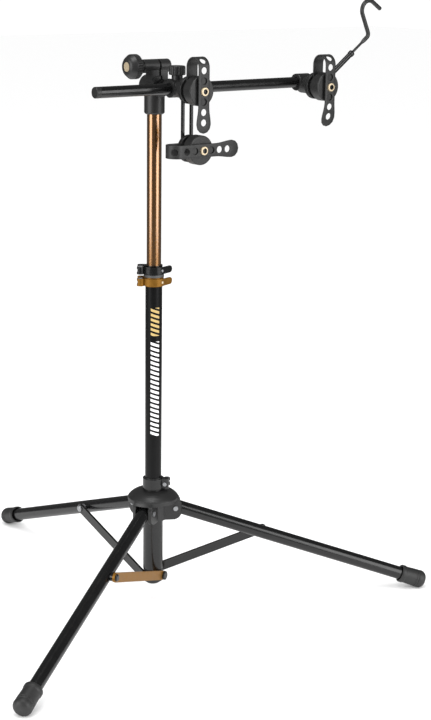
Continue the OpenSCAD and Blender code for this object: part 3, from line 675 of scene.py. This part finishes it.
CLAMP_TURN = 141           # the direction of the slits of the two upper clamps, in degrees
LEVER_OUT = 25 * MM        # outer radius of a clamp lever
RIVET_AT = 139             # where a lever's rivet sits, in degrees from the slit
RIVET_DOME = [(-0.5, 2.9), (0.5, 2.9), (0.9, 2.6), (1.3, 1.9), (1.5, 1.0), (1.5, 0.3)]
CAM_PLATE_AT = 7.7 * MM    # height of a cam plate above the middle of its pin
CAM_PLATE = [(0, 2.1), (0, 5.8), (0.6, 6.1), (1.1, 5.8), (1.3, 5.2), (1.3, 2.1), (0, 2.1)]
HOOK_RING = [(90.5, 5.6), (90.9, 6.3), (91.8, 6.7), (97.4, 6.7), (98.5, 6.2), (99.0, 5.4),
             (99.0, 3.2), (96.5, 3.2), (96.5, 5.6), (90.5, 5.6)]
SOCKET_POINTS = 48         # points around a bolt socket; a multiple of 6


def in_mm(profile):
    return [(along * MM, radius * MM) for along, radius in profile]


def build_rivets():
    """A domed rivet where the tab of each upper lever starts."""
    out = flat_direction(CLAMP_TURN + RIVET_AT, Vector((0, 1, 0)))
    for lever, slot in (("mast_lever", "gold_metal"), ("collar_lever", "steel")):
        middle = Vector((0, 0, joint_point(lever + "_turn").z))
        bm = bmesh.new()
        lathe(bm, in_mm(RIVET_DOME), middle + out * (LEVER_OUT - 0.2 * MM), out, 32)
        add_piece(lever + "_rivet", bm, slot, lever)


def build_cam_plates():
    """A bright washer on the end of each cam, around the lever's pin."""
    for lever in ("hub_lever", "mast_lever", "collar_lever"):
        base = joint_point(lever + "_turn") + Vector((0, 0, CAM_PLATE_AT))
        bm = bmesh.new()
        lathe(bm, in_mm(CAM_PLATE), base, Vector((0, 0, 1)), 40, False)
        bmesh.ops.remove_doubles(bm, verts=bm.verts, dist=0.01 * MM)
        add_piece(lever + "_plate", bm, "steel", lever)


def polygon(corner_radius, sides):
    """The corners of a regular polygon, with the first one repeated at the end."""
    turns = [2 * math.pi * k / sides for k in range(sides + 1)]
    return [(corner_radius * math.cos(t), corner_radius * math.sin(t)) for t in turns]


def hexagon(corner_radius):
    """Points evenly spread over the sides of a hexagon."""
    corners = polygon(corner_radius, 6)
    per_side = SOCKET_POINTS // 6
    return [(a[0] + (b[0] - a[0]) * i / per_side, a[1] + (b[1] - a[1]) * i / per_side)
            for a, b in zip(corners, corners[1:]) for i in range(per_side)]


def build_socket_shades():
    """A black sheet in the hexagonal socket of each cradle bolt, with a thin dark lip around it: painted shade in
    the recess.
    """
    lip, lip_top = (polygon(r, SOCKET_POINTS)[:-1] for r in (5.3 * MM, 5.1 * MM))
    layers = [(-2.9 * MM, hexagon(4.45 * MM)), (-0.1 * MM, hexagon(4.45 * MM)), (-0.1 * MM, lip),
              (0.2 * MM, lip_top), (0.2 * MM, hexagon(4.0 * MM)), (-2.3 * MM, hexagon(3.8 * MM))]
    for which, body in (("mid", "arm"), ("end", "bar"), ("low", "slider")):
        low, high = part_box("cradle_bolt_" + which)
        face = Vector(((low.x + high.x) / 2, low.y, (low.z + high.z) / 2))
        bm = bmesh.new()
        # Painted shade: black metal lines the socket, where the gold bolt is only in shade.
        skin_rings(bm, [[face + Vector((x, -up, z)) for x, z in ring] for up, ring in layers])
        add_piece("socket_shade_" + which, bm, "black_metal", body)


def build_hook_ring():
    """The crimped ring on the open end of the hook tube."""
    bm = bmesh.new()
    lathe(bm, in_mm(HOOK_RING), joint_point("hook_swing"), flat_direction(HOOK_RISE), 48, False)
    bmesh.ops.remove_doubles(bm, verts=bm.verts, dist=0.01 * MM)
    add_piece("hook_tube_ring", bm, "black_metal", "hook_tube")


# ---------- floor, light and camera ----------

def aim(obj, location, target):
    obj.location = location
    obj.rotation_euler = (Vector(target) - Vector(location)).to_track_quat("-Z", "Y").to_euler()


def softbox(name, location, target, width, height, power):
    data = bpy.data.lights.new(name, "AREA")
    data.shape = "RECTANGLE"
    data.size, data.size_y = width, height
    data.energy = power
    obj = bpy.data.objects.new(name, data)
    bpy.context.scene.collection.objects.link(obj)
    aim(obj, location, target)


def camera(location, azimuth, pitch, roll, lens):
    """azimuth turns from +Y towards +X, pitch is up and roll counter-clockwise, in degrees."""
    data = bpy.data.cameras.new("camera")
    data.sensor_width = 36
    data.lens = lens
    data.clip_end = 60
    obj = bpy.data.objects.new("camera", data)
    obj.matrix_world = (Matrix.Translation(location)
                        @ Matrix.Rotation(math.radians(-azimuth), 4, "Z")
                        @ Matrix.Rotation(math.radians(90 + pitch), 4, "X")
                        @ Matrix.Rotation(math.radians(roll), 4, "Z"))
    bpy.context.scene.collection.objects.link(obj)
    bpy.context.scene.camera = obj


FLOOR_HALF = 20
FLOOR_LIT_TO = 1.1         # metres from the mast; reflections see the floor as lit up to here
FLOOR_DARK_FROM = 2.2      # and as dark beyond here
FLOOR_DIMMED = 0.25        # how far towards dark reflections see it even when lit
ROOM_SEEN = 1.08           # strength of the white room to the camera
ROOM_REFLECTED = 0.14      # and to reflections
MIDDLE = Vector((0, 0, 0.65))
CAMERA_AT = Vector((-1.9308, -2.6140, 1.3716))
CAMERA_TURN = (38.74, -14.38, 0.76)    # azimuth, pitch and roll
CAMERA_LENS = 79.97                    # mm, on a 36 mm wide sensor


def pale_floor():
    """White to the camera; reflections see it fade to dark away from the stand."""
    bm = bmesh.new()
    bmesh.ops.create_grid(bm, x_segments=1, y_segments=1, size=FLOOR_HALF)
    mesh = bpy.data.meshes.new("floor")
    bm.to_mesh(mesh)
    bm.free()
    n = Nodes("floor")
    x, y, _ = n.xyz()
    far = n.spread(n.length(x, y), FLOOR_LIT_TO, FLOOR_DARK_FROM, 0.0, 1.0)
    path = n.tree.nodes.new("ShaderNodeLightPath")
    dimmed = n.spread(far, 0.0, 1.0, FLOOR_DIMMED, 1.0)
    unseen = n.math("MULTIPLY", path.outputs["Is Glossy Ray"], dimmed)
    n.set(Base_Color=n.mix(unseen, grey(0.94), grey(0.12)), Roughness=0.95, Specular_IOR_Level=0.1)
    mesh.materials.append(n.mat)
    obj = bpy.data.objects.new("floor", mesh)
    bpy.context.scene.collection.objects.link(obj)


def white_room():
    """A white room, seen at full strength by the camera and much darker by what reflects it."""
    world = bpy.data.worlds.new("room")
    bpy.context.scene.world = world
    world.use_nodes = True
    tree = world.node_tree
    tree.nodes.clear()
    out = tree.nodes.new("ShaderNodeOutputWorld")
    path = tree.nodes.new("ShaderNodeLightPath")
    room = tree.nodes.new("ShaderNodeBackground")
    room.inputs[0].default_value = (1, 1, 1, 1)
    strength = tree.nodes.new("ShaderNodeMapRange")
    strength.inputs["To Min"].default_value = ROOM_SEEN
    strength.inputs["To Max"].default_value = ROOM_REFLECTED
    tree.links.new(path.outputs["Is Glossy Ray"], strength.inputs["Value"])
    tree.links.new(strength.outputs[0], room.inputs[1])
    tree.links.new(room.outputs[0], out.inputs[0])


def beside_camera(degrees, distance, height):
    """A point around the stand, turned by degrees to the right of the camera."""
    away = Vector((CAMERA_AT.x, CAMERA_AT.y, 0)).normalized() * distance
    away.rotate(Matrix.Rotation(math.radians(degrees), 3, "Z"))
    return (away.x, away.y, height)


def studio():
    pale_floor()
    white_room()
    softbox("left_panel", beside_camera(-57, 4.0, 1.6), MIDDLE, 2.8, 3.4, 95)
    softbox("right_panel", beside_camera(54, 4.0, 1.5), MIDDLE, 2.9, 3.4, 105)
    softbox("top", (-0.6, -0.4, 3.6), MIDDLE, 1.6, 1.6, 40)
    camera(CAMERA_AT, *CAMERA_TURN, CAMERA_LENS)
    bpy.context.scene.view_settings.view_transform = "Standard"


paint_frame()
for cradle, width, loop in STRAPS:
    build_strap(cradle, Vector(width), Vector(loop))
for foot, turn in FEET.items():
    build_foot(foot, turn)
build_hook()
build_rivets()
build_cam_plates()
build_socket_shades()
build_hook_ring()
studio()
